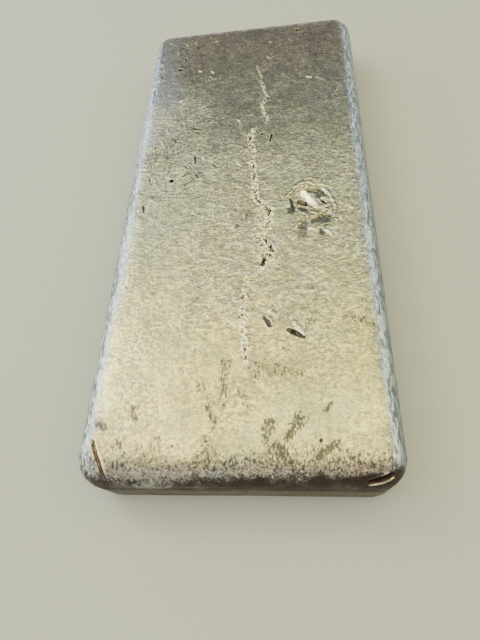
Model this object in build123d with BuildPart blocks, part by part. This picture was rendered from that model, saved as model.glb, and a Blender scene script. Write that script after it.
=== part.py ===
from build123d import *
import math
import os

os.makedirs("parts", exist_ok=True)

# A bar poured into an open mould. The base stands on z = 0, the poured face is up,
# the length runs along Y and the width along X. All sizes in mm.

# Body
width = 82.0            # across the bar at its widest
length = 187.6          # along the bar at its longest
thickness = 20.0        # base to the rim of the poured face
shoulder = 7.0          # radius of the roll from the poured face down to the walls
corner = 1.11 * shoulder  # corner radius seen from above
draft = 3.0             # degrees each wall leans in toward the base
foot_radius = 1.2       # edge round the base
dish = 0.8              # how far the middle of the poured face sank while cooling
rim_flat = 1.0          # level strip left between the sunk face and the roll

# Shrinkage crack along the middle: a torn trench with the open crack inside it
tear_width = 2.4
tear_depth = 0.35
crack_width = 0.9
crack_depth = 1.5

# Round sink where the metal set last, with a raised wave round it
sink_x = 21.4
sink_y = -7.2
sink_radius = 5.6
sink_depth = 0.9
wave_radius = 7.1
wave_width = 1.6
wave_height = 0.3
hump_radius = 0.95
hole_width = 1.3
hole_depth = 2.2
fan_radius = 4.6
fan_depth = 0.45

# Chisel cuts at the near corners and the slit in the left rim
notch_width = 1.5
notch_depth = 2.0
score_width = 1.1
score_depth = 0.9
slit_width = 0.7
slit_depth = 0.9

# Chips, gas pits and the small slot in the poured face
chip_depth = 0.7
pit_radius = 0.45
pit_depth = 0.8

lean = math.radians(draft)
rim = shoulder * (math.tan(lean) + 1 / math.cos(lean) - 1)
inset = thickness * math.tan(lean) - rim
side = width / 2
end = length / 2
top = thickness
dish_x = side - shoulder - rim_flat
dish_y = end - shoulder - rim_flat
bend = (dish_x ** 2 + dish ** 2) / (2 * dish)
axis_z = thickness - dish + bend
swing = math.degrees(math.asin(dish_x / bend)) + 0.3


def face_z(x, y):
    """Height of the sunk poured face above the base at a place."""
    return thickness - dish * (1 - (x / dish_x) ** 2 - (y / dish_y) ** 2)


# The crack's course, from the far end to the near end
far_run = [(4.3, 60), (5.7, 52), (7.2, 44), (5.4, 40), (7.3, 32.5)]
middle_run = [(2.4, 28), (1.6, 23), (3.4, 16), (3.9, 6), (4.1, -5), (7.2, -9), (8.5, -13),
              (6.3, -20.5), (8.6, -25), (7.2, -31)]
near_run = [(4.2, -34.5), (1.7, -39), (1.4, -46), (1.9, -55), (2.4, -63)]
deep_run = [(8.4, -9.5), (8.5, -13), (8.1, -16)]
torn_run = [(8.4, -24.5), (9.3, -27), (7.3, -28.5), (6.9, -31.5)]


def run_cut(points, band, depth):
    """Cut a band of one width along a course, to a depth below the middle of the face."""
    with BuildSketch(Plane.XY.offset(thickness)) as course:
        with BuildLine():
            Polyline(*points)
        trace(line_width=band)
    extrude(course.sketch, amount=-(depth + dish), mode=Mode.SUBTRACT)


def wedge_cut(start, end, band, depth):
    """Cut a V-shaped mark between two places on the surface."""
    along = Vector(*end) - Vector(*start)
    middle = (Vector(*end) + Vector(*start)) / 2
    with BuildSketch(Plane(middle, x_dir=(-along.Y, along.X, 0), z_dir=along)) as mark:
        with BuildLine():
            Polyline((-band / 2, depth), (-band / 2, 0), (0, -depth), (band / 2, 0), (band / 2, depth),
                     (-band / 2, depth))
        make_face()
    extrude(mark.sketch, amount=along.length / 2, both=True, mode=Mode.SUBTRACT)


def hollow(x, y, radius, depth):
    """Sink a shallow round hollow into the poured face."""
    ball = (radius ** 2 + depth ** 2) / (2 * depth)
    with Locations((x, y, face_z(x, y) - depth + ball)):
        Sphere(ball, mode=Mode.SUBTRACT)


with BuildPart() as ingot:
    # Drafted block with the rolled shoulder and the foot radius
    with BuildSketch():
        RectangleRounded(width - 2 * inset, length - 2 * inset, corner - inset)
    extrude(amount=thickness, taper=-draft)
    fillet(ingot.faces().sort_by(Axis.Z)[-1].edges(), radius=shoulder)
    fillet(ingot.faces().sort_by(Axis.Z)[0].edges(), radius=foot_radius)

    # The poured face sank evenly toward the middle
    tilt = math.radians(swing)
    with BuildSketch(Plane((0, 0, axis_z), x_dir=(0, 1, 0), z_dir=(math.cos(tilt), 0, -math.sin(tilt)))):
        with BuildLine():
            ThreePointArc((-dish_y, dish - bend), (0, -bend), (dish_y, dish - bend))
            Polyline((dish_y, dish - bend), (dish_y, dish - bend + 2), (-dish_y, dish - bend + 2),
                     (-dish_y, dish - bend))
        make_face()
    revolve(axis=Axis((0, 0, axis_z), (0, -1, 0)), revolution_arc=2 * swing, mode=Mode.SUBTRACT)

    # Round sink: the wave round it, the hollow, the hump across it, the fan below it and the hole
    wave_foot = Vector(sink_x, sink_y, face_z(sink_x, sink_y))
    crest = wave_width / 6
    with BuildSketch(Plane(wave_foot, x_dir=(1, 0, 0), z_dir=(0, -1, 0))):
        with Locations((wave_radius, 0)):
            Polygon((-wave_width / 2, -wave_height), (wave_width / 2, -wave_height), (wave_width / 2, 0),
                    (crest, wave_height), (-crest, wave_height), (-wave_width / 2, 0), align=None)
    revolve(axis=Axis(wave_foot, (0, 0, 1)))
    hollow(sink_x, sink_y, sink_radius, sink_depth)
    hollow(sink_x + 3.0, sink_y - 8.4, fan_radius, fan_depth)
    hump_z = face_z(sink_x, sink_y) - sink_depth
    hump = Vector(3.0, -4.6, 0)
    hump_start = Vector(sink_x - 1.7, sink_y + 2.0, hump_z)
    with BuildSketch(Plane(hump_start, z_dir=hump)):
        Circle(hump_radius)
    extrude(amount=hump.length)
    with Locations(hump_start, hump_start + hump):
        Sphere(hump_radius)
    run_cut([(sink_x - 2.4, sink_y - 1.0), (sink_x + 0.2, sink_y - 3.0)], hole_width, hole_depth)

    # Shrinkage crack
    for course in (middle_run, near_run):
        run_cut(course, tear_width, tear_depth)
    for course in (far_run, middle_run, near_run):
        run_cut(course, crack_width, crack_depth / 2)
    for course in (deep_run, torn_run):
        run_cut(course, crack_width * 1.4, crack_depth)

    # Chisel cuts at the near corners and the slit in the left rim
    wedge_cut((side - 9.7, 1.0 - end, top - 3.2), (side - 4.6, 2.7 - end, top - 2.4),
              notch_width, notch_depth)
    wedge_cut((5.7 - side, 9.5 - end, top + 0.2), (8.8 - side, 1.8 - end, top - 2.3),
              score_width, score_depth)
    wedge_cut((3.4 - side, 5.6 - end, top - 1.1), (4.8 - side, 0.9 - end, top - 4.6),
              score_width * 0.7, score_depth)
    wedge_cut((4.5 - side, 54.6, top - 0.5), (4.8 - side, 47.0, top - 0.5), slit_width, slit_depth)

    # Chips, small slot and gas pits
    for tip, tail in (((7.0, -49.8), (9.2, -52.2)), ((14.0, -54.3), (17.6, -56.5)),
                      ((9.1, 23.8), (8.4, 20.4))):
        wedge_cut((*tip, face_z(*tip)), (*tail, face_z(*tail)), chip_depth * 1.2, chip_depth)
    for x, y in ((14.0 - side, 65.3), (19.2, end - 9.8), (15.4 - side, end - 13.4),
                 (-24.6, 4.6), (5.9, 24.7)):
        with Locations((x, y, face_z(x, y))):
            Cylinder(pit_radius, 2 * pit_depth, mode=Mode.SUBTRACT)

ingot.part.label = "ingot"
export_step(ingot.part, "parts/ingot.step")
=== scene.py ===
import math
from functools import partial

import bmesh
import bpy
from bpy.props import FloatProperty, FloatVectorProperty, IntProperty, PointerProperty
from mathutils import Matrix, Vector, noise


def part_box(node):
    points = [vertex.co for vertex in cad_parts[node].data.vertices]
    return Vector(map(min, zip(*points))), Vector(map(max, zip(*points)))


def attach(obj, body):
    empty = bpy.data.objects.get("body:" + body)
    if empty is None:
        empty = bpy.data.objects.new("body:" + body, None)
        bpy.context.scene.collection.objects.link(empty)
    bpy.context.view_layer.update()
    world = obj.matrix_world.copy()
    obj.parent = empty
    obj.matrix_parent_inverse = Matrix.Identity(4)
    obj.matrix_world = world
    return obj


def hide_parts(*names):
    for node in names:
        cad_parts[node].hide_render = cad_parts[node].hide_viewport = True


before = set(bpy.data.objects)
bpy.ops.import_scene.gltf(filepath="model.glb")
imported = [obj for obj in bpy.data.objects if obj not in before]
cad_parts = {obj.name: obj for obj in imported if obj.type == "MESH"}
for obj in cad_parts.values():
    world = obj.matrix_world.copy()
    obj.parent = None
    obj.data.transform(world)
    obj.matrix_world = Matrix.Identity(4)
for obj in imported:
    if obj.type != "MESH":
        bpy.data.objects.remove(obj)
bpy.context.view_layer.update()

bl_info = {
    "name": "Poured metal ingot",
    "version": (1, 0, 0),
    "blender": (4, 5, 0),
    "location": "3D View > Sidebar > Ingot",
    "description": "Casts the detailed surface of a poured metal ingot and sets up its studio",
    "category": "Object",
}

# The tables and the functions that shape the bar are in millimetres; MM turns them into Blender's metres.
MM = 0.001
LOW, HIGH = (Vector(corner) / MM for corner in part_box("ingot"))
WIDTH, LENGTH, HEIGHT = HIGH - LOW
SIDE, END = WIDTH / 2, LENGTH / 2

# The plain bar
CORNER_TO_ROLL = 1.05  # corner radius seen from above, over the radius of the roll
CORNER_STEPS, ROLL_STEPS, FOOT_STEPS = 12, 16, 3  # segments of the bevels
WALL_CUTS = 6  # rows of cuts round the walls
HAIR = 0.01  # slack when points are found by their height
# Strokes are looked up by bands along the bar. They taper toward their end, short ones less
BAND = 6
TAPER, FULL_TAPER_LENGTH = 0.55, 3
# The crack and its lips lie between these, and the faces are finer this close to the crack, the cuts in the roll,
# the slot, and the edges of marks and beads
CRACK_LEFT, CRACK_RIGHT = -3, 14
FINE_CRACK, FINE_CUT, FINE_SLOT, FINE_STROKE = 1.9, 2.2, 1.5, 0.7
# What is noted on each point for the material: first the seven notes of the poured face
NOTES = ("recess_shade", "crag", "stain", "calm", "lively", "hollow_shade", "rusty", "down", "long_side")
FACE_NOTES = 7

# The crack's course on the poured face, from the far end to the near end:
# place, half width of the opening and depth
FAR_CRACK = [((2.4, 67.0), 0.10, 0.08), ((4.3, 60.0), 0.20, 0.26), ((5.7, 52.0), 0.22, 0.34),
             ((7.3, 44.0), 0.28, 0.42), ((5.2, 40.2), 0.26, 0.40), ((6.2, 36.0), 0.30, 0.45),
             ((7.6, 33.0), 0.28, 0.42), ((6.9, 29.5), 0.15, 0.12)]
MIDDLE_CRACK = [((4.4, 28.4), 0.25, 0.15), ((2.2, 27.2), 0.30, 0.40), ((1.8, 24.8), 0.40, 0.90),
                ((1.6, 22.6), 0.50, 1.40), ((1.1, 21.4), 0.30, 0.50), ((2.5, 18.6), 0.35, 0.80),
                ((3.2, 15.4), 0.30, 0.60), ((2.6, 13.4), 0.35, 0.60), ((2.9, 10.6), 0.45, 1.10),
                ((3.2, 7.6), 0.30, 0.60), ((3.7, 4.9), 0.45, 0.90), ((3.4, 2.4), 0.35, 0.70),
                ((3.9, -1.2), 0.35, 0.80), ((4.0, -4.4), 0.50, 1.30), ((4.4, -6.4), 0.45, 1.00),
                ((6.6, -8.2), 0.40, 0.70), ((8.4, -10.8), 0.65, 1.60), ((8.5, -14.4), 0.40, 0.90),
                ((8.0, -17.0), 0.40, 0.90), ((6.3, -20.4), 0.40, 0.80), ((6.9, -22.6), 0.45, 1.00),
                ((8.4, -24.6), 0.60, 1.50), ((9.3, -26.8), 0.60, 1.50), ((8.6, -27.8), 0.35, 0.70),
                ((7.0, -28.2), 0.60, 1.50), ((6.7, -31.6), 0.65, 1.40)]
SIDE_CRACK = [((8.4, -27.8), 0.25, 0.40), ((9.2, -29.2), 0.40, 1.20), ((9.0, -30.4), 0.30, 0.60)]
NEAR_CRACK = [((6.2, -33.2), 0.25, 0.30), ((3.6, -35.6), 0.35, 0.50), ((2.0, -38.6), 0.40, 0.60),
              ((1.3, -42.5), 0.42, 0.70), ((1.2, -46.0), 0.42, 0.70), ((1.0, -50.5), 0.40, 0.60),
              ((1.9, -55.0), 0.35, 0.50), ((2.0, -59.6), 0.42, 1.20), ((2.4, -63.4), 0.25, 0.40)]
TAIL_LINE = [((2.7, -65.0), 0.15, 0.07), ((3.1, -89.0), 0.15, 0.07)]

# Round sink: its middle, how far it reaches and how far its faces are finer, and the bowl at its far side
SINK, SINK_REACH, SINK_FINE = Vector((21.8, -9.6)), 14.5, 11.8
BOWL, BOWL_DEPTH = Vector((21.8, -7.0)), 0.35
# Ridges left by the setting metal: line, half width and height
SINK_RIDGES = [([(18.4, 0.5), (19.1, 1.1), (20.3, 1.4), (21.2, 1.6), (21.7, 1.1), (22.6, 0.8), (23.7, 0.4),
                 (24.7, -0.1)], 0.17, 0.14),
               ([(13.8, -5.8), (14.7, -4.6), (15.9, -3.0), (16.8, -1.6), (18.0, -0.7), (19.1, -0.4), (20.3, 0.0),
                 (21.0, -0.2), (21.7, -1.0), (22.6, -1.5), (24.0, -1.5), (25.4, -1.9), (26.8, -2.7)], 0.22, 0.26),
               ([(14.9, -6.2), (15.9, -4.9), (16.9, -3.2), (18.2, -1.9), (19.8, -1.2), (21.2, -1.9), (22.9, -2.4)],
                0.16, 0.16),
               ([(16.3, -5.8), (17.0, -4.6), (17.7, -3.7), (18.7, -2.7), (19.8, -2.2), (21.2, -2.3), (22.6, -2.6)],
                0.24, 0.24),
               ([(25.4, -3.6), (26.6, -4.8), (27.3, -6.5), (27.6, -8.1), (28.2, -10.0), (28.3, -11.0), (28.6, -12.7)],
                0.24, 0.22),
               ([(28.2, -13.4), (27.9, -15.6), (29.0, -17.4)], 0.18, 0.16),
               ([(17.5, -12.5), (18.7, -13.2), (19.6, -13.7), (20.0, -15.0)], 0.22, 0.22),
               ([(20.3, -12.1), (21.5, -12.9), (22.6, -13.6), (23.6, -13.7), (24.5, -12.9), (25.9, -12.2)], 0.26, 0.22),
               ([(22.8, -10.4), (24.4, -10.9), (26.6, -10.4)], 0.80, 0.22),
               ([(25.0, -7.2), (26.2, -8.2)], 0.80, 0.20),
               ([(19.3, -10.6), (20.6, -11.2), (21.9, -11.3)], 0.18, 0.22),
               ([(18.7, -15.8), (17.2, -17.4), (15.7, -19.3)], 0.26, 0.18),
               ([(24.0, -18.3), (25.4, -17.7), (27.3, -17.9)], 0.16, 0.10)]
# Hollows between them: line from the deep end to the shallow end, half width, depth at each end and strength of the
# painted shade in them
SINK_HOLLOWS = [([(20.1, -3.2), (21.4, -4.0), (22.6, -3.4), (24.0, -3.2), (25.0, -4.1), (25.4, -5.8)],
                 0.85, 0.50, 0.35, 0.80),
                ([(23.2, -4.6), (24.0, -6.6)], 1.2, 0.30, 0.10, 0.45),
                ([(15.1, -7.0), (15.6, -9.4), (16.2, -11.8)], 0.80, 0.42, 0.30, 1.00),
                ([(14.7, -10.6), (15.2, -12.2)], 1.1, 0.20, 0.16, 0.70),
                ([(17.8, -10.6), (19.6, -11.6)], 0.9, 0.30, 0.20, 0.80),
                ([(25.2, -13.6), (23.6, -15.4), (22.2, -16.2)], 1.9, 0.50, 0.30, 0.66),
                ([(26.0, -14.4), (25.4, -17.4)], 2.3, 0.40, 0.14, 0.50),
                ([(18.9, -16.6), (18.6, -21.6)], 2.6, 0.36, 0.05, 0.30),
                ([(23.8, -19.8), (24.4, -22.0)], 0.9, 0.30, 0.05, 0.50)]
# Hump across the sink: ends, half width and height of its right edge. Open hole beside it: ends, half width, depth
HUMP = (Vector((19.0, -4.7)), Vector((22.5, -9.9)), 1.05, 1.05)
CAVITY = ((Vector((17.8, -8.0)), Vector((19.6, -9.0)), 1.15, 0.80),
          (Vector((19.9, -8.9)), Vector((21.6, -10.2)), 0.50, 1.50))

# Marks cut or knocked into the metal: ends, half width and depth
MARKS = [((8.7, -52.0), (7.0, -49.6), 0.85, 0.55), ((14.8, -54.6), (17.8, -56.4), 0.90, 0.60),
         ((14.8, -54.6), (13.6, -53.8), 0.80, 0.50),
         ((9.2, 23.9), (8.3, 20.2), 0.34, 1.00), ((5.9, 24.9), (5.6, 24.2), 0.38, 0.80),
         ((24.7, -8.5), (26.1, -9.8), 0.42, 0.90), ((16.2, 24.4), (18.8, 26.8), 0.30, 0.20),
         ((-32.3, 6.2), (-31.4, 3.0), 0.35, 0.35), ((-32.7, -6.4), (-32.2, -9.2), 0.50, 0.25),
         ((-34.4, 63.0), (-34.0, 60.4), 0.35, 0.35), ((-34.6, 72.4), (-34.2, 70.2), 0.35, 0.35),
         ((-18.2, 29.8), (-16.2, 29.3), 0.70, 0.60), ((-23.6, 32.5), (-22.7, 31.5), 0.50, 0.50),
         ((-25.2, 24.1), (-24.3, 23.1), 0.50, 0.45), ((-19.4, 18.5), (-16.8, 19.4), 0.42, 0.40),
         ((-17.3, 15.7), (-16.9, 12.3), 0.50, 0.50), ((-20.5, 11.3), (-19.5, 10.1), 0.50, 0.40),
         ((-10.5, 11.1), (-9.5, 9.9), 0.50, 0.40), ((-20.8, 6.5), (-19.2, 7.5), 0.50, 0.40),
         ((-16.3, 7.1), (-15.5, 5.7), 0.55, 0.45), ((-19.9, 2.1), (-16.5, 5.5), 0.36, 0.35),
         ((-23.4, 0.9), (-20.2, 2.0), 0.30, 0.25), ((-26.9, 21.7), (-25.9, 20.7), 0.45, 0.40),
         ((-25.4, 72.6), (-25.0, 70.2), 0.50, 0.35), ((-14.8, 58.7), (-14.1, 57.5), 0.50, 0.35)]
# Gas pits: place, radius and depth. Each is a mark with next to no length
MARKS += [((x, y), (x + 0.1, y), radius, deep) for x, y, radius, deep in (
    (-27.1, 65.3, 0.80, 1.0), (19.2, 84.0, 0.80, 1.0), (-24.6, 4.6, 0.75, 0.9), (-26.4, 81.6, 0.75, 0.6),
    (-25.4, 80.4, 0.50, 0.5), (-22.4, 82.0, 0.60, 0.5), (-13.7, 81.6, 0.50, 0.5), (20.7, -83.9, 0.50, 0.5),
    (-29.2, 75.9, 0.50, 0.5))]
# Cuts in the rolled edge: points on its surface, half width and depth. The first is the slot at the right corner
EDGE_CUTS = [([(31.2, -92.9, 16.7), (36.6, -91.2, 17.6)], 0.62, 2.00),
             ([(-35.5, -84.0, 19.9), (-33.5, -88.4, 19.7), (-32.8, -90.4, 18.9), (-32.2, -91.9, 17.8)], 0.62, 0.60),
             ([(-37.7, -87.8, 18.7), (-37.1, -90.4, 17.9), (-37.1, -92.2, 15.4)], 0.36, 0.70),
             ([(-36.5, 54.8, 19.5), (-36.4, 51.0, 19.6), (-36.3, 46.8, 19.6)], 0.34, 0.85)]
# Burrs beside the cuts: points, half width and height
EDGE_BURRS = [([(31.2, -93.3, 15.8), (34.2, -92.6, 16.3), (36.5, -91.6, 16.7)], 0.50, 0.30),
              ([(-34.5, -84.0, 20.0), (-32.4, -88.5, 19.8), (-31.1, -92.0, 17.9)], 0.42, 0.20),
              ([(-35.9, -87.2, 19.3), (-34.3, -90.4, 18.4)], 0.34, 0.12)]
# Beads, burrs and blisters standing on the face, each painted with a bright highlight: ends, half width and height
BEADS = [((33.9, 46.4), (32.1, 42.7), 0.55, 0.50), ((-19.2, 63.3), (-18.6, 62.9), 0.45, 0.35),
         ((-14.3, 62.4), (-13.6, 61.4), 0.45, 0.40), ((-25.6, 45.6), (-24.2, 46.2), 0.40, 0.30),
         ((-22.4, 69.4), (-22.0, 67.0), 0.40, 0.20), ((-33.0, 84.4), (-30.4, 82.2), 0.55, 0.25),
         ((-34.8, 70.0), (-33.7, 65.2), 0.50, 0.34),
         ((-35.2, 88.2), (-33.0, 89.0), 0.50, 0.30), ((-35.4, 79.0), (-35.4, 75.6), 0.45, 0.34),
         ((-35.0, 62.4), (-35.1, 59.0), 0.45, 0.34), ((-35.3, 55.0), (-35.2, 52.0), 0.40, 0.25),
         ((-35.6, 38.0), (-35.4, 33.0), 0.45, 0.20), ((13.0, 57.0), (17.0, 52.0), 0.35, 0.16),
         ((-30.2, 5.6), (-29.8, 3.0), 1.00, 0.18),
         ((-30.4, -3.4), (-31.3, -8.4), 1.20, 0.25), ((-26.6, -6.0), (-26.7, -11.0), 0.30, 0.14),
         ((16.2, -53.4), (17.8, -55.6), 1.10, 0.75), ((16.2, -53.4), (15.2, -51.6), 0.80, 0.45),
         ((8.6, -47.6), (10.6, -49.6), 1.00, 0.42),
         ((8.8, -50.0), (9.2, -52.2), 0.60, 0.24), ((20.6, -19.4), (22.9, -20.6), 0.85, 0.50),
         ((25.6, -20.6), (26.8, -22.4), 0.55, 0.45), ((11.6, -57.6), (12.2, -60.4), 1.10, 0.14),
         ((16.0, 77.8), (17.4, 76.4), 0.45, 0.30), ((8.2, 78.1), (8.9, 77.3), 0.50, 0.26),
         ((22.2, 53.2), (24.0, 52.4), 0.50, 0.32), ((25.6, 52.4), (29.0, 49.6), 0.50, 0.28),
         ((7.6, 68.4), (9.6, 66.4), 0.60, 0.18), ((-9.0, 88.0), (-9.6, 85.6), 0.45, 0.26),
         ((-28.9, 30.4), (-28.3, 29.1), 0.60, 0.36), ((-32.7, 20.8), (-32.1, 19.0), 0.42, 0.30),
         ((-30.1, 24.2), (-29.3, 22.4), 0.42, 0.30), ((-3.1, 33.0), (-2.3, 31.9), 0.50, 0.30),
         ((-2.3, 10.7), (-1.1, 9.7), 0.55, 0.30), ((-2.1, 0.5), (-0.7, -0.5), 0.55, 0.30),
         ((-14.7, 15.4), (-13.9, 13.8), 0.50, 0.26), ((-33.6, 13.6), (-32.6, 11.4), 0.42, 0.26),
         ((12.2, -60.4), (10.6, -62.4), 1.10, 0.14), ((5.4, -59.8), (7.6, -59.6), 0.90, 0.10)]
# Soft dark stains: ends, half width and strength
STAINS = [((-3.0, -63.0), (-3.4, -69.0), 1.6, 0.50), ((-3.2, -70.0), (-3.0, -75.4), 1.4, 0.55),
          ((-9.0, -70.0), (-5.6, -74.4), 1.4, 0.40), ((-6.2, -75.6), (-4.6, -81.4), 1.5, 0.45),
          ((1.2, -71.6), (3.0, -75.0), 1.6, 0.35), ((5.4, -66.4), (5.0, -69.4), 0.8, 0.50),
          ((8.4, -79.8), (7.8, -85.0), 1.9, 0.70), ((15.8, -78.8), (12.8, -83.4), 2.0, 0.80),
          ((10.4, -86.0), (13.6, -88.4), 2.2, 0.90), ((20.0, -87.4), (24.8, -84.2), 1.8, 0.80),
          ((22.4, -76.4), (23.4, -75.0), 0.9, 0.80), ((-7.0, -83.8), (-6.6, -87.4), 1.6, 0.50),
          ((-26.4, -76.0), (-25.2, -78.2), 1.4, 0.60), ((-35.0, -79.0), (-32.6, -80.6), 1.3, 0.80),
          ((-28.8, -84.8), (-26.4, -87.0), 1.6, 0.60), ((-20.0, -82.0), (-18.6, -84.0), 1.2, 0.50),
          ((19.0, -52.4), (20.6, -51.2), 1.1, 0.45), ((5.4, -64.6), (16.0, -66.4), 3.0, 0.30),
          ((1.7, -11.0), (1.2, -14.0), 0.8, 0.70), ((-1.2, -16.0), (-2.4, -17.4), 0.7, 0.60),
          ((-19.4, 30.0), (-17.0, 29.6), 0.8, 0.90), ((-18.0, 27.4), (-15.0, 27.2), 0.7, 0.60),
          ((-19.6, 18.4), (-13.4, 19.4), 0.6, 0.60), ((-17.4, 15.4), (-17.0, 12.0), 0.6, 0.80),
          ((-15.6, 7.8), (-14.8, 6.0), 0.7, 0.60), ((-19.6, 2.4), (-17.4, 4.2), 0.6, 0.60),
          ((-30.0, 16.0), (-18.0, 30.0), 7.0, 0.30), ((-25.0, 78.0), (-20.0, 82.0), 5.0, 0.35),
          ((24.0, 80.0), (31.0, 74.0), 4.0, 0.30), ((30.2, -51.2), (35.4, -52.6), 2.0, 0.45)]

# The studio, in metres and watts
FLOOR_REACH, FLOOR_ROUGHNESS = 3, 0.65
AIR = (0.95, 0.97, 1.0, 1)
NEAREST_SEEN, FARTHEST_SEEN = 0.005, 20
UP = 0.60  # height of the lights that hang over the bar
SKEW = -0.1  # turn of four of them, in radians
FACING = (0, 0, 0.02)  # what the other lights face
# Name, place, what it faces (None is straight down), size, power, colour and turn
LIGHTS = (("overhead", (0.30, 0.17, UP), None, (2.5, 0.34), 7.9, (1.0, 0.905, 0.28), SKEW),
          ("top_sky", (0.25, -0.17, UP), None, (2.4, 0.32), 7.0, (1.0, 0.915, 0.36), SKEW),
          ("middle_sky", (0.0, 0.57, UP), None, (2.4, 0.46), 1.35, (0.94, 0.98, 0.62), SKEW),
          ("far_sky", (0.0, 1.09, UP), None, (2.2, 0.58), 0.55, (0.95, 1.0, 0.92), SKEW),
          ("near_sky", (0.15, -0.68, UP), None, (2.1, 0.65), 5.2, (1.0, 0.85, 0.48), 0),
          ("left_sky", (-0.51, 0.60, 0.61), None, (0.48, 0.50), 0.8, (0.96, 0.98, 0.95), 0),
          ("left_lamp", (-0.47, 0.25, UP), FACING, (0.14, 0.14), 0.8, (1.0, 0.92, 0.45), 0),
          ("left_strip", (-0.61, 0.70, UP), None, (0.10, 0.80), 2.0, (1.0, 0.95, 0.70), 0),
          ("near_window", (0.1, -1.25, 0.30), FACING, (2.4, 0.5), 3.0, (1.0, 0.86, 0.50), 0),
          ("left_window", (-1.0, 0.15, 0.28), FACING, (2.0, 0.5), 13.0, (0.80, 0.93, 1.0), 0),
          ("right_window", (1.05, 0.3, 0.17), FACING, (2.0, 0.3), 6.0, (0.74, 0.92, 1.0), 0),
          ("far_window", (0.1, 1.6, 0.28), FACING, (1.6, 0.42), 1.8, (1.0, 0.92, 0.80), 0))


def as_vectors(rows):
    """The same rows, with the points of each row's line as vectors."""
    return [([Vector(point) for point in line], *sizes) for line, *sizes in rows]


SINK_RIDGES, SINK_HOLLOWS, EDGE_CUTS, EDGE_BURRS = map(as_vectors, (SINK_RIDGES, SINK_HOLLOWS, EDGE_CUTS, EDGE_BURRS))
CRACK_RUNS = [[(Vector(point), half, deep) for point, half, deep in run]
              for run in (FAR_CRACK, MIDDLE_CRACK, SIDE_CRACK, NEAR_CRACK, TAIL_LINE)]
OPEN_RUNS = CRACK_RUNS[:-1]  # the tail line is only a scratch


def smooth(low, high, value):
    """0 below low, 1 above high, and an even ramp between; low may be the larger."""
    t = min(max((value - low) / (high - low), 0.0), 1.0)
    return t * t * (3 - 2 * t)


def grain(place, size, seed=0.0):
    """Even noise from -1 to 1 whose lumps are about size across."""
    return noise.noise(Vector((place.x / size + seed, place.y / size - seed, place.z / size)))


def crest(place, size, seed=0.0):
    """Noise with sharp crests about size apart, from -1 in the hollows to 1 on the crests."""
    return 1 - 4 * abs(grain(place, size, seed))


def sway(place, size, reach, *seeds):
    """A sideways shift of up to reach, along x and y, that changes over about size."""
    return Vector([grain(place, size, seed) for seed in seeds]) * reach


def nearest(place, start, end):
    """Distance from a place to a stretch between two points, and how far along it that is."""
    span = end - start
    t = min(max((place - start).dot(span) / span.length_squared, 0.0), 1.0)
    return (place - start - t * span).length, t


def near_run(place, run):
    """Distance from a place to a course of several stretches, and how far along the course that is."""
    stretches = (nearest(place, a, b) for a, b in zip(run, run[1:]))
    return min((gap, (i + t) / (len(run) - 1)) for i, (gap, t) in enumerate(stretches))


def shelve(strokes, reach=2.0):
    """Sort strokes (start, end, half width, size) into bands along the bar, so that a place looks only at near ones."""
    shelf = {}
    for start, end, half, size in strokes:
        a, b = Vector(start), Vector(end)
        low, high = min(a.y, b.y) - reach * half, max(a.y, b.y) + reach * half
        for band in range(math.floor(low / BAND), math.floor(high / BAND) + 1):
            shelf.setdefault(band, []).append((a, b, half, size))
    return shelf


def close_to(shelf, place, reach=2.0):
    """The shelved strokes within reach (in half widths) of a place: how far off, half width there and size."""
    for a, b, half, size in shelf.get(math.floor(place.y / BAND), ()):
        gap, t = nearest(place, a, b)
        if gap < reach * half:
            yield gap, half * (1 - TAPER * t * min((b - a).length / FULL_TAPER_LENGTH, 1)), size


MARK_SHELF, BEAD_SHELF, STAIN_SHELF = shelve(MARKS), shelve(BEADS), shelve(STAINS)


class IngotShape(bpy.types.PropertyGroup):
    shoulder: FloatProperty(name="Shoulder", description="Radius of the roll round the poured face",
                            default=7.4 * MM, min=2 * MM, max=9 * MM, subtype="DISTANCE", unit="LENGTH")
    foot: FloatProperty(name="Foot", description="Radius of the edge round the base",
                        default=1.2 * MM, min=0.3 * MM, max=3 * MM, subtype="DISTANCE", unit="LENGTH")
    draft: FloatProperty(name="Draft", description="Angle that each wall leans in toward the base",
                         default=math.radians(3), min=0, max=math.radians(12), subtype="ANGLE", unit="ROTATION")
    dish: FloatProperty(name="Dish", description="How far the middle of the poured face sank",
                        default=0.8 * MM, min=0, max=2 * MM, subtype="DISTANCE", unit="LENGTH")
    facet: FloatProperty(name="Facet", description="Size of the mesh's faces away from the marks",
                         default=0.62 * MM, min=0.4 * MM, max=5 * MM, subtype="DISTANCE", unit="LENGTH")
    unevenness: FloatProperty(name="Unevenness", description="Strength of the poured face's waves and grain",
                              default=1.0, min=0, max=2)


def colour(name, description, value):
    """A colour setting."""
    return FloatVectorProperty(name=name, description=description, size=3, default=value, min=0, max=1,
                               subtype="COLOR")


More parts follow.
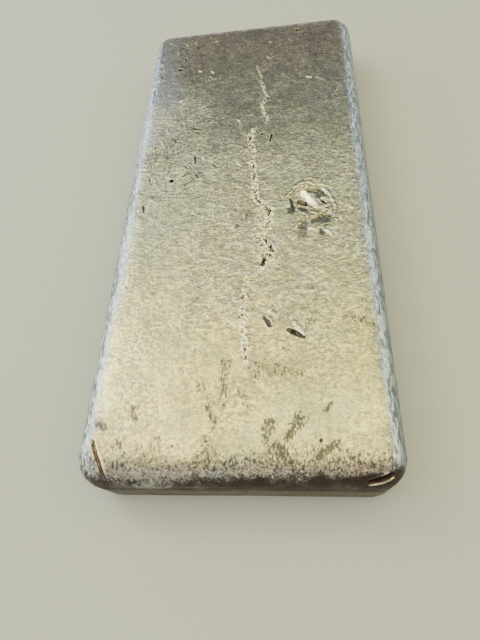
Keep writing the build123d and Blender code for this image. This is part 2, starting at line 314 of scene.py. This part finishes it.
class IngotFinish(bpy.types.PropertyGroup):
    metal: colour("Metal", "Colour of the clean metal", (0.86, 0.81, 0.61))
    # Also painted as the grey reflection over the middle of the face
    grey_metal: colour("Grey clouds", "Colour of the face's greyish clouds", (0.60, 0.68, 0.69))
    rosy_metal: colour("Rosy clouds", "Colour of the face's rosy clouds", (0.80, 0.67, 0.54))
    bluish_metal: colour("Bluish strip", "Colour of the metal along the far left side", (0.60, 0.66, 0.78))
    # Painted highlight on the torn crests and lips, the beads, the burrs, the far rim's ridge and the bright flecks
    glint_highlight: colour("Fresh metal", "Colour of the torn lips", (0.96, 0.91, 0.78))
    # Painted highlight on the hump across the sink
    hump_highlight: colour("Bright metal", "Colour of the hump across the sink", (0.95, 0.97, 1.0))
    # Painted cool reflection of the windows on the rolled edge
    roll_reflection: colour("Cool metal", "Colour of the metal on the rolled edge", (0.84, 0.92, 0.92))
    # Dark strokes on the roll, also its painted shade low down on the right
    cool_dark: colour("Dark cool metal", "Colour of the roll's dark strokes", (0.10, 0.13, 0.165))
    # Dulled metal, also painted as the darker far end, the shade of the face's small lumps and the shaded flecks
    tarnish_and_shade: colour("Tarnish", "Colour of the dulled metal", (0.36, 0.345, 0.345))
    # Painted shade in the sink's hollows, beside its ridges, inside the marks and on the shaded flecks, and the dark
    # part of the far end's mottle
    dull_metal_and_shade: colour("Dull metal", "Colour of the hollows round the sink", (0.12, 0.115, 0.12))
    stain: colour("Stain", "Colour of the dark smudges", (0.055, 0.053, 0.090))
    skin: colour("Mould skin", "Colour of the walls that lay in the mould", (0.120, 0.100, 0.084))
    skin_dark: colour("Dark mould skin", "Colour of the dark streaks on the walls", (0.050, 0.041, 0.034))
    rust: colour("Crack stain", "Colour of the grains in the crack and the grooves", (0.115, 0.068, 0.105))
    # Painted dark reflection under the near rim, partly oxide
    rim_shade_and_oxide: colour("Scorch", "Colour of the band burnt under the near rim", (0.056, 0.042, 0.042))
    # Painted shade in the pits, the crack, the cuts and the holes in the sink
    recess_shade: colour("Soot", "Colour in the pits, the crack and the cuts", (0.030, 0.014, 0.020))


class IngotStudio(bpy.types.PropertyGroup):
    lens: FloatProperty(name="Lens", description="Focal length of the camera in mm", default=27.5625, min=10, max=200)
    eye: FloatVectorProperty(name="Eye", description="Where the camera stands", size=3,
                             default=(17.73 * MM, -117.05 * MM, 134.63 * MM), subtype="TRANSLATION", unit="LENGTH")
    heading: FloatProperty(name="Heading", description="Turn of the camera about the vertical",
                           default=math.radians(14.53), subtype="ANGLE", unit="ROTATION")
    tilt: FloatProperty(name="Tilt", description="Lift of the view from straight down",
                        default=math.radians(30.90), subtype="ANGLE", unit="ROTATION")
    roll: FloatProperty(name="Roll", description="Turn of the camera about its own view",
                        default=math.radians(-14.67), subtype="ANGLE", unit="ROTATION")
    floor: colour("Floor", "Colour of the floor", (0.42, 0.45, 0.60))
    daylight: FloatProperty(name="Daylight", description="Strength of the even light all round", default=0.10, min=0)
    light_count: IntProperty(name="Lights", description="How many of the studio's lights are on",
                             default=len(LIGHTS), min=1, max=len(LIGHTS))


def cast_block(bm, shape):
    """The plain bar: a block with rounded corners, a rolled rim, a foot radius and drafted walls."""
    roll, foot = shape.shoulder / MM, shape.foot / MM
    corner = CORNER_TO_ROLL * roll
    bmesh.ops.create_cube(bm, size=1)
    bmesh.ops.scale(bm, vec=(WIDTH, LENGTH, HEIGHT), verts=bm.verts)
    bmesh.ops.translate(bm, vec=(0, 0, HEIGHT / 2), verts=bm.verts)

    def bevel(edges, offset, segments):
        bmesh.ops.bevel(bm, geom=edges, offset=offset, offset_type="OFFSET", segments=segments, profile=0.5,
                        affect="EDGES", material=-1)

    def drop(edge):
        return abs(edge.verts[0].co.z - edge.verts[1].co.z)

    bevel([e for e in bm.edges if drop(e) > 1], corner, CORNER_STEPS)
    bevel([e for e in bm.edges if min(v.co.z for v in e.verts) > HEIGHT - HAIR], roll, ROLL_STEPS)
    bevel([e for e in bm.edges if max(v.co.z for v in e.verts) < HAIR], foot, FOOT_STEPS)

    # Each corner of the poured face comes to one point, so that the face is a true rectangle
    for sx in (-1, 1):
        for sy in (-1, 1):
            point = Vector((sx * (SIDE - roll), sy * (END - roll), HEIGHT))
            ring = [v for v in bm.verts if v.co.z > HEIGHT - HAIR and (v.co - point).length < 1.2 * (corner - roll)]
            bmesh.ops.pointmerge(bm, verts=ring, merge_co=point)

    # An even grid on the face, rows of faces round the walls and one plain face underneath
    bmesh.ops.delete(bm, geom=[f for f in bm.faces if max(v.co.z for v in f.verts) < HAIR], context="FACES_ONLY")
    facet = shape.facet / MM
    for axis, reach in ((1, LENGTH), (0, WIDTH)):
        along = [e for e in bm.edges if abs(e.verts[0].co[axis] - e.verts[1].co[axis]) > reach / 2]
        bmesh.ops.subdivide_edges(bm, edges=along, cuts=round((reach - 2 * roll) / facet) - 1, use_grid_fill=True)
    bmesh.ops.subdivide_edges(bm, edges=[e for e in bm.edges if drop(e) > 3], cuts=WALL_CUTS, use_grid_fill=True)
    bmesh.ops.holes_fill(bm, edges=[e for e in bm.edges if e.is_boundary], sides=0)

    for v in bm.verts:
        inset = max(HEIGHT - roll - v.co.z, 0) * math.tan(shape.draft)
        v.co.x *= 1 - inset / SIDE
        v.co.y *= 1 - inset / END


def refine_marks(bm):
    """Finer faces where the crack, the sink, the chips and the cuts are, and finer still in the slot."""
    runs = [[point for point, half, deep in run] for run in OPEN_RUNS]
    spots = [(Vector(a), Vector(b), FINE_STROKE + half) for a, b, half, deep in MARKS + BEADS]

    def marked(place):
        if place.z < HEIGHT - 8:
            return False
        flat = place.xy
        if (flat - SINK).length < SINK_FINE:
            return True
        if any(near_run(place, run)[0] < FINE_CUT for run, half, deep in EDGE_CUTS):
            return True
        if place.z < HEIGHT - 0.2:
            return False
        if any(nearest(flat, a, b)[0] < reach for a, b, reach in spots):
            return True
        return CRACK_LEFT < flat.x < CRACK_RIGHT and any(near_run(flat, run)[0] < FINE_CRACK for run in runs)

    def in_slot(place):
        return near_run(place, EDGE_CUTS[0][0])[0] < FINE_SLOT

    for chosen in (marked, in_slot):
        faces = {f for f in bm.faces if len(f.verts) < 5 and chosen(f.calc_center_median())}
        edges = [e for e in bm.edges if not faces.isdisjoint(e.link_faces)]
        bmesh.ops.subdivide_edges(bm, edges=edges, cuts=2, use_grid_fill=True)


def crack_relief(place):
    """Depth of the open crack, height of its lips, and how torn and rusty the metal is, at a place on the face."""
    flat = place.xy
    if not CRACK_LEFT < flat.x < CRACK_RIGHT:
        return 0.0, 0.0, 0.0, 0.0
    spot = flat + (sway(place, 3.0, 0.45, 7.3, 2.9) + sway(place, 1.0, 0.40, 1.3, 5.9))
    drop = lip = torn = rusty = 0.0
    for run in CRACK_RUNS:
        if not run[-1][0].y - 5 < flat.y < run[0][0].y + 5:
            continue
        # The nearest stretch of this run, its opening and depth there, and which side of it the place is on
        gap, half, deep, right = 99.0, 1.0, 0.0, 0.0
        for (a, wide_a, deep_a), (b, wide_b, deep_b) in zip(run, run[1:]):
            off, t = nearest(spot, a, b)
            if off < gap:
                gap, half, deep = off, wide_a + (wide_b - wide_a) * t, deep_a + (deep_b - deep_a) * t
                right = (b - a).cross(spot - a)
        # Bits of the crack are bridged, the shallow ones more, and its right lip stands higher
        broken = smooth(-0.08, 0.20, grain(place, 1.1, 9.4) + 0.45 * (deep - 0.95))
        drop = max(drop, deep * broken * smooth(0.80 * half, 0.2 * half, gap))
        tall = (0.42 if right > 0 else 0.22) * (0.75 + 0.6 * grain(place, 1.2, 3.1))
        tall *= smooth(-0.25, 0.25, grain(place, 0.9, 5.5) + 0.3 * (deep - 0.6))
        lip = max(lip, min(deep / 0.7, 1) * tall * math.exp(-((gap - 1.7 * half) / 0.42) ** 2))
        if run is not CRACK_RUNS[-1]:
            torn = max(torn, min(deep / 0.45, 1.0) * smooth(0.50 + 1.15 * deep, 0.10, gap))
            rusty = max(rusty, min(deep / 0.9, 1.0) ** 2 * smooth(0.40 + 0.80 * deep, 0.10, gap))
    # The broad torn patch where the crack passes the sink
    ragged = smooth(4.2, 1.5, abs(spot.x - 6.8)) * smooth(-4, -9, flat.y) * smooth(-36, -30, flat.y)
    return drop, lip, max(torn, 0.55 * ragged), max(rusty, 0.3 * ragged)


def sink_relief(place):
    """Height of the round sink's surface at a place, its painted shade in the holes, how smooth it is, its painted
    highlight (negative in the holes, which turns them to the crack stain colour), and its painted shade in the hollows
    and beside the ridges.
    """
    flat = place.xy + sway(place, 1.1, 0.42, 6.4, 3.8) + sway(place, 0.5, 0.16, 1.4, 8.8)
    dark = calm = highlight = hollow_shade = 0.0
    height = -BOWL_DEPTH * smooth(7.5, 4.5, (flat - BOWL).length)
    for run, half, deep, shallow, shade_strength in SINK_HOLLOWS:
        gap, t = near_run(flat, run)
        hollow = smooth(half, (0.7 - 0.18 * half) * half, gap)
        height -= (deep + (shallow - deep) * t) * hollow
        calm, hollow_shade = max(calm, hollow), max(hollow_shade, shade_strength * hollow)
    for run, half, tall in SINK_RIDGES:
        gap, t = near_run(flat, run)
        ridge = math.exp(-(gap / half) ** 2)
        ridge *= smooth(-0.45, 0.0, grain(place, 1.4, 4.4))
        height += tall * ridge * (0.9 + 0.5 * grain(place, 0.9, 4.4))
        # Each ridge gets a painted highlight along it, and a thin line of painted shade beside it
        highlight = max(highlight, 0.30 * ridge)
        hollow_shade = max(hollow_shade * (1 - ridge), 0.8 * math.exp(-((gap - half - 0.35) / 0.22) ** 2))
    # The hump is highest along its right edge and falls off along its length
    start, end, half, tall = HUMP
    gap, t = nearest(flat, start, end)
    across = (end - start).normalized().cross(flat - start)
    hump = smooth(half, 0.75 * half, gap)
    height += hump * tall * (0.5 + 0.5 * across / half) * (1 - 0.4 * t)
    # The hump is painted with a strong highlight
    calm, highlight, hollow_shade = max(calm, hump), max(highlight, 0.8 * hump), hollow_shade * (1 - hump)
    # The holes beside it get painted shade and a negative highlight, which turns them to the crack stain colour
    for start, end, half, deep in CAVITY:
        gap, t = nearest(flat, start, end)
        hole = smooth(half, 0.5 * half, gap) * (1 - hump)
        height -= deep * hole
        dark = max(dark, hole if deep > 1 else 0.3 * hole)
        highlight = highlight * (1 - hole) - 0.5 * hole
    return height, dark, calm, highlight, hollow_shade


def face_relief(place):
    """Height of the cast surface above the plain dished face, and the notes on its finish there."""
    flat = place.xy
    height = 0.10 * grain(place, 30.0) + 0.03 * grain(place, 10.0, 3.3) + 0.012 * grain(place, 3.6, 6.1)
    # The grain is livelier in the near half from the middle on, and at the left halfway along
    lively = max(smooth(30, 8, flat.y) * smooth(-62, -38, flat.y) * smooth(-30, -8, flat.x),
                 smooth(-10, -18, flat.x) * smooth(56, 40, flat.y) * smooth(-8, 2, flat.y))
    lively = 0.3 + 0.7 * lively
    fine = 0.02 * grain(place, 1.6, 8.2) + 0.036 * lively * grain(place, 1.35, 2.6)

    # The crack: torn crests and pale lips painted with highlights, and a bottom painted dark as shade
    drop, lip, torn, rusty = crack_relief(place)
    recess_shade = 0.55 * smooth(0.6, 1.3, drop)
    crag = torn * (0.5 * crest(place, 1.1, 5.7) + 0.5 * crest(place, 0.6, 1.9) + 0.02)
    fine += 0.26 * crag
    crag *= 1 if crag > 0 else 0.8 * torn
    crag += 0.7 * lip - 0.40 * smooth(0.45, 0.9, drop)

    calm = hollow_shade = 0.0
    if (flat - SINK).length < SINK_REACH:
        tall, dark, calm, highlight, hollow_shade = sink_relief(place)
        crag = highlight if highlight < 0 else max(crag, highlight)
        height += tall
        fine *= 1 - 0.85 * calm
        recess_shade = max(recess_shade, dark)

    # Marks, each with a faint raised edge and painted shade inside, then beads and blisters painted with a highlight,
    # then smudges and the stained near margin
    for gap, half, deep in close_to(MARK_SHELF, flat):
        cut = smooth(half, 0.15 * half, gap)
        height -= deep * cut
        height += 0.07 * math.exp(-((gap - 1.35 * half) / 0.25) ** 2)
        inside = smooth(1.1 * half, 0.75 * half, gap)
        recess_shade = max(recess_shade, smooth(0.45, 0.85, deep) * inside)
        hollow_shade = max(hollow_shade, inside)
    for gap, half, tall in close_to(BEAD_SHELF, flat, 1.0):
        bead = smooth(half, 0.2 * half, gap) * (0.8 + 0.4 * grain(place, 1.1))
        height += tall * bead
        crag = max(crag, 0.4 * smooth(0.15, 0.36, tall) * bead)
    stain = 0.0
    for gap, half, strength in close_to(STAIN_SHELF, flat, 1.5):
        stain = max(stain, strength * smooth(half * 1.5, half * 0.2, gap))
    margin = smooth(-83.5, -90, flat.y + 3.5 * grain(place, 5.0, 1.7)) * 0.5
    return height + fine + lip - drop, (recess_shade, crag, max(stain, margin), calm, lively, hollow_shade, rusty)


def edge_relief(place):
    """How far the rolled edge and the walls stand off the plain bar, the painted shade in their cuts, how craggy they
    are (with painted highlights on the burrs and the far rim's ridge), and how stained they are (with the band under
    the near rim painted dark as a reflection, partly oxide).
    """
    hatched = Vector((place.x, 0.5 * place.y + 0.7 * abs(place.x), place.z))
    stand = 0.05 * grain(place, 7.0, 2.0) + 0.06 * grain(hatched, 1.7, 4.0) - 0.09
    stand += 0.09 * grain(hatched, 1.0, 6.6) * smooth(SIDE - 8, SIDE - 5, abs(place.x))
    recess_shade = crag = 0.0
    # Shallow dents in the walls, drawn out along each of them
    along = (1, 0.25) if abs(place.x) > SIDE - 9 else (0.25, 1)
    skin = Vector((place.x * along[0], place.y * along[1], place.z * 2.4))
    stand -= 0.10 * smooth(0.1, 0.5, grain(skin, 6.0, 9.0)) * smooth(17, 13, place.z)
    # Cuts, with painted shade and the crack stain colour inside, and a faint raised lip
    for run, half, deep in EDGE_CUTS:
        gap, t = near_run(place, run)
        if gap < 3 * half:
            cut = smooth(half, 0.1 * half, gap)
            lip = math.exp(-((gap - 1.3 * half) / (0.35 * half)) ** 2)
            stand += 0.10 * lip - deep * cut
            recess_shade = max(recess_shade, smooth(0.6, 1.2, deep) * smooth(0.25, 0.9, cut))
            crag = 0.08 * lip - (0.34 + 0.16 * grain(place, 1.5, 3.6)) * smooth(1.1 * half, 0.7 * half, gap)
    # Burrs beside the cuts, painted with a highlight
    for run, half, tall in EDGE_BURRS:
        gap, t = near_run(place, run)
        if gap < half:
            burr = smooth(half, 0.3 * half, gap)
            stand += tall * burr
            crag = max(crag, 0.20 * burr)
    # The thin broken ridge along the far rim, painted with a highlight, and the band under the near one, painted dark
    # as a reflection, partly oxide
    rim = math.exp(-((place.y - END + 5.2 + 0.5 * grain(place, 6.0, 3.0)) / 0.5) ** 2)
    rim *= smooth(-0.3, 0.2, grain(place, 4.0, 5.0)) * smooth(-36, -20, place.x)
    stand += 0.22 * rim
    crag += 0.24 * rim
    right = smooth(-20, 20, place.x)
    rough = place.z + 0.9 * grain(place, 3.0, 7.7) + 0.5 * grain(place, 1.1, 2.3)
    # The band under the near rim: painted dark as a reflection, partly oxide
    near = smooth(6 - END, 3 - END, place.y) * smooth(18.8 + right, 15.6 + right, rough) * smooth(8.5, 12.0, rough)
    stain = near * (0.72 + 0.55 * right + 0.7 * grain(place, 5.0, 8.0))
    return stand, recess_shade, crag, stain


def carve(bm, shape):
    """Move every point of the plain bar to the cast surface and set its notes for the material."""
    roll = shape.shoulder / MM
    layers = [bm.verts.layers.float.new(name) for name in NOTES]
    bm.normal_update()
    across, along = SIDE - roll, END - roll
    moves = []
    for v in bm.verts:
        place = v.co.copy()
        on_top = smooth(HEIGHT - 2.2, HEIGHT - 0.4, place.z)
        sunk = max(1 - (place.x / across) ** 2 - (place.y / along) ** 2, 0.0) if on_top > 0.9 else 0.0
        rise, recess_shade, crag, stain = edge_relief(place) if place.z > 0.6 else (-0.05, 0.0, 0.0, 0.0)
        face = [0.0] * FACE_NOTES
        if on_top > 0:
            tall, face = face_relief(place)
            rise += shape.unevenness * on_top * tall
        notes = [on_top * note for note in face]
        notes[:3] = max(notes[0], recess_shade), notes[1] + crag, max(notes[2], stain)
        notes.append((HEIGHT - place.z) / HEIGHT)
        # 1 on the long sides and 0 at the ends
        notes.append(smooth(2.0, 6.0, abs(place.x) - SIDE + END - abs(place.y) + 4.0))
        moves.append((v, place + v.normal * rise - Vector((0, 0, shape.dish / MM * sunk)), notes))
    for v, place, notes in moves:
        for axis, low, high in ((0, -SIDE, SIDE), (1, -END, END), (2, 0.0, HEIGHT)):
            place[axis] = min(max(place[axis], low), high)
        if v.co.z < HAIR:
            place.z = 0.0
        v.co = place
        for layer, note in zip(layers, notes):
            v[layer] = note


def finish_material(finish):
    """Cast silver: pale and warm on the face with painted highlights and shade, a painted cool window reflection on the
    smoother roll, matt on the walls, and painted shade in the cuts.
    """
    mat = bpy.data.materials.new("cast_metal")
    mat.use_nodes = True
    nodes, links = mat.node_tree.nodes, mat.node_tree.links
    shader = nodes["Principled BSDF"]
    coords = nodes.new("ShaderNodeTexCoord").outputs["Object"]

    def note(name):
        node = nodes.new("ShaderNodeAttribute")
        node.attribute_name = name
        return node.outputs["Fac"]

    def stretched(scale, turn):
        node = nodes.new("ShaderNodeMapping")
        node.inputs["Scale"].default_value = scale
        node.inputs["Rotation"].default_value = (0, 0, turn)
        links.new(coords, node.inputs["Vector"])
        return node.outputs["Vector"]

    def cloud(scale, detail=4.0, rough=0.6, vector=coords, bend=0.0):
        node = nodes.new("ShaderNodeTexNoise")
        for name, number in (("Scale", scale), ("Detail", detail), ("Roughness", rough), ("Distortion", bend)):
            node.inputs[name].default_value = number
        links.new(vector, node.inputs["Vector"])
        return node.outputs["Fac"]

    def ramp(value, low, high, out_low=0.0, out_high=1.0):
        node = nodes.new("ShaderNodeMapRange")
        node.interpolation_type = "SMOOTHSTEP"
        for name, number in (("From Min", low), ("From Max", high), ("To Min", out_low), ("To Max", out_high)):
            node.inputs[name].default_value = number
        links.new(value, node.inputs["Value"])
        return node.outputs["Result"]

    def maths(operation, a, b):
        node = nodes.new("ShaderNodeMath")
        node.operation = operation
        for socket, value in zip(node.inputs, (a, b)):
            if isinstance(value, (int, float)):
                socket.default_value = value
            else:
                links.new(value, socket)
        return node.outputs[0]

    plus, minus, times, larger = (partial(maths, name) for name in ("ADD", "SUBTRACT", "MULTIPLY", "MAXIMUM"))

    def around(value, middle, outer, inner, full=1.0):
        """Full where a value is within inner of the middle, and 0 from outer on."""
        return ramp(maths("ABSOLUTE", minus(value, middle), 0), outer, inner, 0.0, full)

    def blend(amount, a, b):
        node = nodes.new("ShaderNodeMix")
        node.data_type = "RGBA"
        links.new(amount, node.inputs["Factor"])
        for socket, value in zip(node.inputs[6:8], (a, b)):  # the two colours, among sockets of the same names
            if isinstance(value, bpy.types.NodeSocket):
                links.new(value, socket)
            else:
                socket.default_value = (*value, 1)
        return node.outputs[2]  # their blend

    def bump(distance, strength, height, under=None):
        node = nodes.new("ShaderNodeBump")
        node.inputs["Distance"].default_value = distance
        links.new(strength, node.inputs["Strength"])
        links.new(height, node.inputs["Height"])
        if under is not None:
            links.new(under, node.inputs["Normal"])
        return node.outputs["Normal"]

    # Where on the bar a place is. Object coordinates are in metres
    recess_shade, crag, stain, calm, lively, hollow_shade, rusty, down, long_side = (note(name) for name in NOTES)
    split = nodes.new("ShaderNodeSeparateXYZ")
    links.new(coords, split.inputs[0])
    x, y = split.outputs["X"], split.outputs["Y"]
    drift = times(minus(cloud(20), 0.5), 0.06)
    distance = plus(y, drift)
    farther = ramp(distance, -0.02, 0.08)
    nearer = ramp(distance, -0.005, -0.045)
    roll = ramp(down, 0.01, 0.09)
    wall = ramp(down, 0.30, 0.42)
    tongue = times(around(plus(x, drift), 0, 0.016, 0.002), ramp(y, -0.062, -0.025))

    # The face: clean metal with greyish and rosy clouds, greyer over the middle of its length and darker toward the far
    # end as a painted reflection of darker surroundings, rosy at the far end, and duller in a tongue down the middle
    grey = larger(around(distance, 0.015, 0.075, 0.035), times(ramp(cloud(75, 5, 0.66, bend=0.8), 0.42, 0.58), 0.80))
    body = blend(grey, finish.metal, finish.grey_metal)
    rosy = larger(ramp(distance, 0.045, 0.085, 0.0, 0.9),
                  times(ramp(cloud(62, 5, 0.66, bend=0.6), 0.47, 0.60), ramp(distance, -0.03, -0.06, 0.0, 0.85)))
    body = blend(rosy, body, finish.rosy_metal)
    # Painted shade: the face darker toward the far end, as the reflection of darker surroundings
    body = blend(times(farther, 0.30), body, finish.tarnish_and_shade)
    body = blend(times(tongue, 0.25), body, finish.tarnish_and_shade)
    # Its grain: soft clouds of duller metal, a coarse grain and dark specks painted as the shade of small lumps (the
    # coarse grain stronger in the near part), a mottle at the far end, flecks painted as glints and shaded facets, and
    # strokes
    body = blend(ramp(cloud(110, 6, 0.62, bend=0.7), 0.38, 0.66, 0.0, 0.60), body, finish.tarnish_and_shade)
    coarse = cloud(900, 5, 0.72)
    patchy = ramp(cloud(85, 3, 0.5), 0.40, 0.60, 0.45, 1.35)
    amount = times(patchy, plus(0.58, times(nearer, 0.60)))
    body = blend(times(ramp(coarse, 0.45, 0.56), amount), body, finish.tarnish_and_shade)
    body = blend(ramp(cloud(2100, 2), 0.58, 0.69, 0.0, 0.60), body, finish.stain)
    mottle = cloud(430, 4, 0.55)
    body = blend(times(ramp(mottle, 0.52, 0.64), times(farther, 0.40)), body, finish.dull_metal_and_shade)
    body = blend(times(ramp(mottle, 0.42, 0.32), times(farther, 0.30)), body, finish.metal)
    flecks = cloud(760, 4, 0.62, stretched((0.8, 1.25, 1.0), 0.3), 0.5)
    lively = times(lively, ramp(cloud(95, 4, 0.6), 0.42, 0.58, 0.45, 1.0))
    body = blend(times(ramp(flecks, 0.50, 0.41), times(lively, 0.85)), body, finish.tarnish_and_shade)
    body = blend(times(ramp(flecks, 0.37, 0.31), lively), body, finish.dull_metal_and_shade)
    body = blend(times(ramp(flecks, 0.55, 0.60), lively), body, finish.glint_highlight)
    stroke = cloud(520, 3, 0.55, stretched((1.0, 0.32, 1.0), 0.5), 0.4)
    body = blend(times(ramp(stroke, 0.56, 0.66), 0.35), body, finish.tarnish_and_shade)

    # The roll: a painted cool reflection of the windows with dark slanting strokes, painted shade low down and most on
    # the right, and the bluish strip at the far left
    brushed = cloud(1050, 5, 0.66, stretched((1.0, 0.3, 0.8), 0.7), 0.3)
    cool = blend(ramp(brushed, 0.47, 0.54), finish.roll_reflection, finish.cool_dark)
    # Painted shade: the roll darker low down, more on the right
    shaded = times(ramp(down, 0.03, 0.17, 0.0, 0.75), ramp(x, -0.02, 0.02, 0.45, 1.0))
    cool = blend(shaded, cool, finish.cool_dark)
    body = blend(times(ramp(brushed, 0.48, 0.60), times(roll, 0.6)), body, finish.tarnish_and_shade)
    body = blend(times(times(roll, long_side), 0.9), body, cool)
    strip = times(ramp(plus(x, drift), -0.018, -0.036), around(distance, 0.050, 0.045, 0.020, 0.75))
    body = blend(strip, body, finish.bluish_metal)
    # The walls: the mould's dull skin, streaked
    streaks = cloud(160, 5, 0.65, stretched((0.3, 0.3, 2.6), 0.0), 0.2)
    streaks = plus(times(streaks, 0.6), times(cloud(260, 5, 0.7), 0.4))
    skin = blend(ramp(streaks, 0.38, 0.62), finish.skin, finish.skin_dark)
    body = blend(times(wall, 0.9), body, skin)
    # Smudges, a soft shade with a fine hatch in it, and the band under the near rim painted dark as a reflection,
    # partly oxide
    shade = times(times(ramp(cloud(620, 5, 0.72), 0.42, 0.53), stain), 0.45)
    hatch = cloud(1800, 4, 0.66, stretched((1.0, 0.45, 1.0), -0.45), 0.4)
    specks = times(ramp(plus(hatch, times(stain, 0.22)), 0.575, 0.65), ramp(stain, 0.0, 0.2))
    body = blend(larger(times(specks, 0.90), shade), body, finish.stain)
    patch = plus(stain, times(minus(cloud(380, 5, 0.7), 0.5), 2.0))
    body = blend(times(ramp(patch, 0.50, 1.15, 0.0, 0.95), roll), body, finish.rim_shade_and_oxide)
    # Painted shade in the sink's hollows, beside its ridges and inside the marks
    body = blend(hollow_shade, body, finish.dull_metal_and_shade)
    # Painted highlights on the torn crests, a dark stain in their hollows, and painted shade in the pits, the crack and
    # the cuts
    grit = cloud(1250, 4, 0.65)
    torn = times(ramp(crag, 0.05, 0.24, 0.0, 0.95), ramp(grit, 0.36, 0.46, 0.35, 1.0))
    body = blend(torn, body, finish.glint_highlight)
    # Painted highlight on the hump and the highest crests
    body = blend(ramp(crag, 0.40, 0.70), body, finish.hump_highlight)
    grains = times(ramp(grit, 0.49, 0.42), ramp(rusty, 0.35, 0.8))
    body = blend(larger(ramp(crag, -0.08, -0.34, 0.0, 0.9), grains), body, finish.rust)
    body = blend(ramp(recess_shade, 0.1, 0.75), body, finish.recess_shade)
    links.new(body, shader.inputs["Base Color"])
    links.new(minus(1.0, times(wall, 0.5)), shader.inputs["Metallic"])

    rough = plus(ramp(coarse, 0.40, 0.66, 0.17, 0.30), times(roll, -0.03))
    rough = plus(rough, times(wall, 0.35))
    rough = plus(rough, times(larger(recess_shade, stain), 0.22))
    links.new(rough, shader.inputs["Roughness"])

    # Bumps: flecks and broken small crests that glint, soft lumps, and the slanting strokes on the roll
    crests = times(around(cloud(560, 3), 0.5, 0.045, 0.0), ramp(cloud(820, 2), 0.48, 0.60))
    crests = times(plus(crests, times(flecks, 2.5)), lively)
    still = larger(calm, ramp(distance, 0.045, 0.075, 0.0, 0.4))
    fine = bump(0.11 * MM, minus(0.9, times(still, 0.75)), plus(cloud(1500, 4, 0.6), times(crests, 1.5)))
    lumps = bump(0.30 * MM, minus(0.8, times(still, 0.6)), mottle, fine)
    strokes = bump(0.60 * MM, times(roll, 0.9), brushed, lumps)
    links.new(strokes, shader.inputs["Normal"])
    return mat


class INGOT_OT_cast_bar(bpy.types.Operator):
    """Cast the ingot with its crack, sink, cuts and grain, and give it its finish"""
    bl_idname = "ingot.cast_bar"
    bl_label = "Cast the bar"

    def execute(self, context):
        shape, finish = context.scene.ingot_shape, context.scene.ingot_finish
        bm = bmesh.new()
        cast_block(bm, shape)
        refine_marks(bm)
        carve(bm, shape)
        bmesh.ops.scale(bm, vec=(MM, MM, MM), verts=bm.verts)
        for face in bm.faces:
            face.smooth = True
        mesh = bpy.data.meshes.new("cast_bar")
        bm.to_mesh(mesh)
        bm.free()
        mesh.materials.append(finish_material(finish))
        bar = bpy.data.objects.new("cast_bar", mesh)
        context.scene.collection.objects.link(bar)
        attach(bar, "root")
        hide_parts("ingot")
        return {"FINISHED"}


def area_light(context, name, place, target, size, power, tint, turn):
    """A soft rectangular light that faces a target, or straight down without one."""
    light = bpy.data.lights.new(name, "AREA")
    light.shape = "RECTANGLE"
    light.size, light.size_y = size
    light.energy = power
    light.color = tint
    lamp = bpy.data.objects.new(name, light)
    target = target or (*place[:2], 0)
    aim = (Vector(target) - Vector(place)).to_track_quat("-Z", "Y").to_matrix().to_4x4()
    lamp.matrix_world = Matrix.Translation(place) @ aim @ Matrix.Rotation(turn, 4, "Z")
    context.scene.collection.objects.link(lamp)


class INGOT_OT_studio(bpy.types.Operator):
    """Lay the floor, hang the lights and stand the camera where the picture is taken from"""
    bl_idname = "ingot.studio"
    bl_label = "Set up the studio"

    def execute(self, context):
        studio = context.scene.ingot_studio
        bm = bmesh.new()
        bmesh.ops.create_grid(bm, x_segments=2, y_segments=2, size=FLOOR_REACH)
        mesh = bpy.data.meshes.new("floor")
        bm.to_mesh(mesh)
        bm.free()
        floor = bpy.data.objects.new("floor", mesh)
        context.scene.collection.objects.link(floor)
        mat = bpy.data.materials.new("floor_paint")
        mat.use_nodes = True
        paint = mat.node_tree.nodes["Principled BSDF"]
        paint.inputs["Base Color"].default_value = (*studio.floor, 1)
        paint.inputs["Roughness"].default_value = FLOOR_ROUGHNESS
        mesh.materials.append(mat)

        world = bpy.data.worlds.new("studio_air")
        world.use_nodes = True
        air = world.node_tree.nodes["Background"]
        air.inputs["Color"].default_value = AIR
        air.inputs["Strength"].default_value = studio.daylight
        context.scene.world = world

        for light in LIGHTS[:studio.light_count]:
            area_light(context, *light)

        camera = bpy.data.cameras.new("camera")
        camera.lens = studio.lens
        camera.clip_start, camera.clip_end = NEAREST_SEEN, FARTHEST_SEEN
        eye = bpy.data.objects.new("camera", camera)
        eye.matrix_world = (Matrix.Translation(studio.eye) @ Matrix.Rotation(studio.heading, 4, "Z")
                            @ Matrix.Rotation(studio.tilt, 4, "X") @ Matrix.Rotation(studio.roll, 4, "Z"))
        context.scene.collection.objects.link(eye)
        context.scene.camera = eye
        return {"FINISHED"}


class INGOT_PT_panel(bpy.types.Panel):
    bl_label = "Poured ingot"
    bl_idname = "INGOT_PT_panel"
    bl_space_type = "VIEW_3D"
    bl_region_type = "UI"
    bl_category = "Ingot"

    def draw(self, context):
        for group in (context.scene.ingot_shape, context.scene.ingot_finish, context.scene.ingot_studio):
            box = self.layout.box()
            for name in group.__annotations__:
                box.prop(group, name)
        for operator in (INGOT_OT_cast_bar, INGOT_OT_studio):
            self.layout.operator(operator.bl_idname)


CLASSES = (IngotShape, IngotFinish, IngotStudio, INGOT_OT_cast_bar, INGOT_OT_studio, INGOT_PT_panel)


def register():
    for cls in CLASSES:
        bpy.utils.register_class(cls)
    bpy.types.Scene.ingot_shape = PointerProperty(type=IngotShape)
    bpy.types.Scene.ingot_finish = PointerProperty(type=IngotFinish)
    bpy.types.Scene.ingot_studio = PointerProperty(type=IngotStudio)


def unregister():
    del bpy.types.Scene.ingot_studio, bpy.types.Scene.ingot_finish, bpy.types.Scene.ingot_shape
    for cls in reversed(CLASSES):
        bpy.utils.unregister_class(cls)


def main():
    register()
    bpy.ops.ingot.cast_bar()
    bpy.ops.ingot.studio()


if __name__ == "__main__":
    main()
